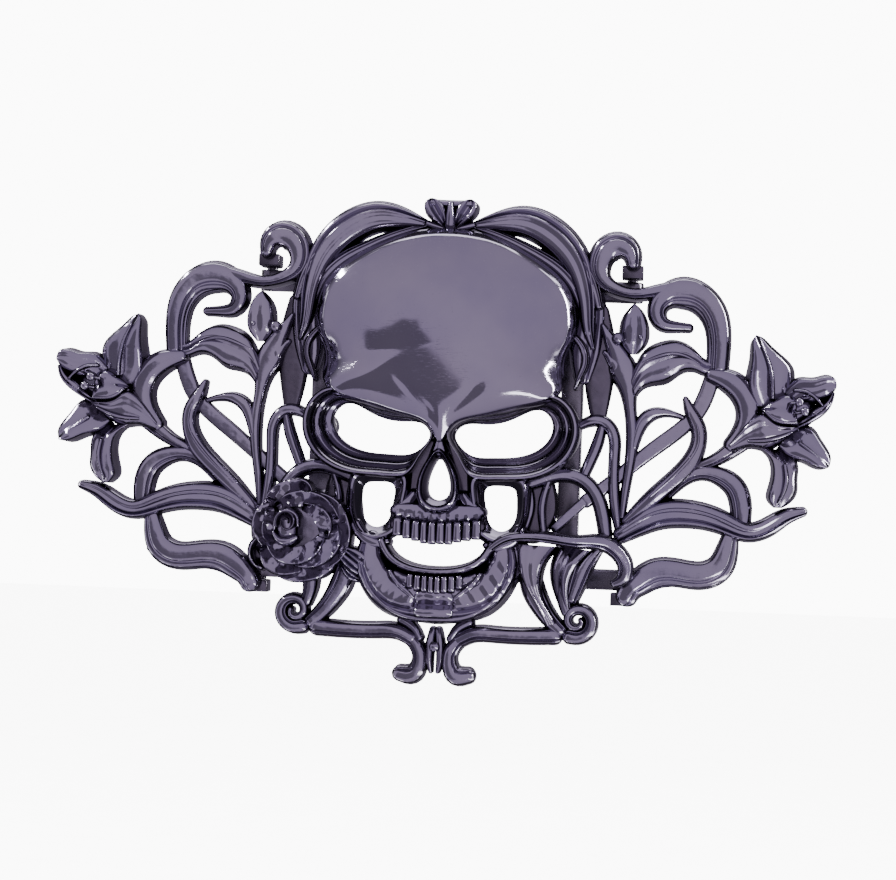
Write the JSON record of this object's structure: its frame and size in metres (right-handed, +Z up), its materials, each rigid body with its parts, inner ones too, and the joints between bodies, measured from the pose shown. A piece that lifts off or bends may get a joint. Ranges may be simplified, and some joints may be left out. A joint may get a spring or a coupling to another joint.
{
  "type": "belt buckle",
  "caption": "Openwork plate belt buckle with a skull, a rose and lilies, with a hinged strap loop and a hinged stud frame behind",
  "frame": {"origin": "on the casting's flat back plane, at the belt's centre line, midway between the two hinge axes", "axes": "+Z up as worn, -Y out of the front, +X to the right of a person who looks at the front"},
  "size_m": [0.1114, 0.026, 0.0697],
  "materials": {
    "skull": "black chrome plate, mirror polish",
    "foliage": "black chrome plate, bright with dark recesses",
    "frames": "black chrome plate, tumbled",
    "pins": "plated steel"
  },
  "bodies": {
    "casting": {"arch_left": "foliage", "arch_right": "foliage", "belt_loop_pins": "pins", "bottom_finial": "foliage", "brace_left": "foliage", "brace_right": "foliage", "cranium": "skull", "crest_finial": "foliage", "eye_rim_left": "skull", "eye_rim_right": "skull", "hook_frame_pins": "pins", "leaf_left": "foliage", "leaf_right": "foliage", "lily_left": "foliage", "lily_right": "foliage", "lily_stamens": "foliage", "lily_stem_left": "foliage", "lily_stem_right": "foliage", "lower_bar_left": "foliage", "lower_bar_right": "foliage", "lower_jaw": "skull", "lower_leaf_left": "foliage", "lower_leaf_right": "foliage", "lower_loop_left": "foliage", "lower_loop_right": "foliage", "lower_teeth": "skull", "lug_pair_left": "foliage", "lug_pair_right": "foliage", "nose_ring": "skull", "rose_bud": "foliage", "rose_petals": "foliage", "rose_stem": "foliage", "scroll_left": "foliage", "scroll_right": "foliage", "spike_leaf_left": "foliage", "spike_leaf_right": "foliage", "stem_leaf": "foliage", "temple_bud_left": "foliage", "temple_bud_right": "foliage", "upper_jaw": "skull", "upper_teeth": "skull", "vine_left": "foliage", "vine_right": "foliage"},
    "loop": {"belt_loop": "frames"},
    "hook": {"hook_frame": "frames", "hook_stud": "pins"}
  },
  "joints": [
    {"name": "loop_hinge", "type": "hinge", "parent": "casting", "child": "loop", "pos_m": [0.0261, 0.0055, 0], "axis": [0, 0, -1], "range_deg": [0, 175]},
    {"name": "hook_hinge", "type": "hinge", "parent": "casting", "child": "hook", "pos_m": [-0.0261, 0.0055, 0], "axis": [0, 0, 1], "range_deg": [0, 95]}
  ]
}
